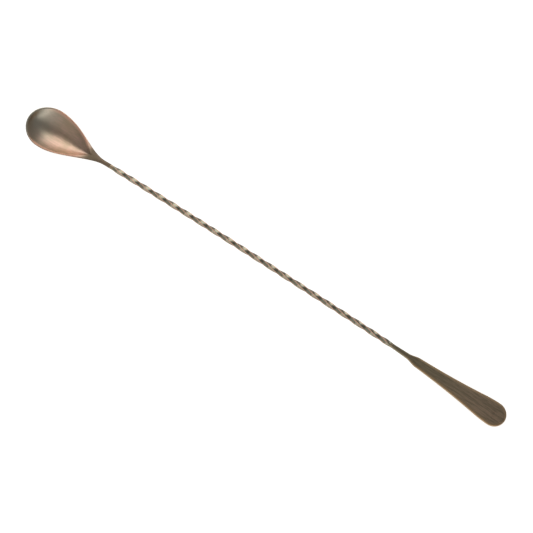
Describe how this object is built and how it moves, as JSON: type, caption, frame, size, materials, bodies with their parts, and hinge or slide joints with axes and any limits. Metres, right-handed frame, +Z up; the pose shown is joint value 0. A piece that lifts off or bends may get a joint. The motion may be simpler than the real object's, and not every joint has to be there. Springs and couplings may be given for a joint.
{
  "type": "bar spoon",
  "caption": "Long twisted bar spoon with a teardrop bowl at one end and a flat rounded paddle at the other, for stirring and measuring drinks.",
  "frame": {"origin": "on the surface that the spoon lies on, under the middle of its length", "axes": "+X from the bowl towards the paddle, +Y across, +Z up out of the mouth of the bowl"},
  "size_m": [0.335, 0.0278, 0.0115],
  "materials": {
    "bowl_copper": "antique copper plating on stainless steel, brushed",
    "weld_copper": "antique copper plating over ground weld metal",
    "shaft_copper": "antique copper plating, darkened in the facets and rubbed bright on the arrises",
    "paddle_copper": "antique copper plating on stainless steel, brushed lengthwise"
  },
  "bodies": {
    "root": {"bowl": "bowl_copper", "bowl_weld": "weld_copper", "twisted_shaft": "shaft_copper", "paddle_weld": "weld_copper", "paddle": "paddle_copper"}
  },
  "joints": []
}
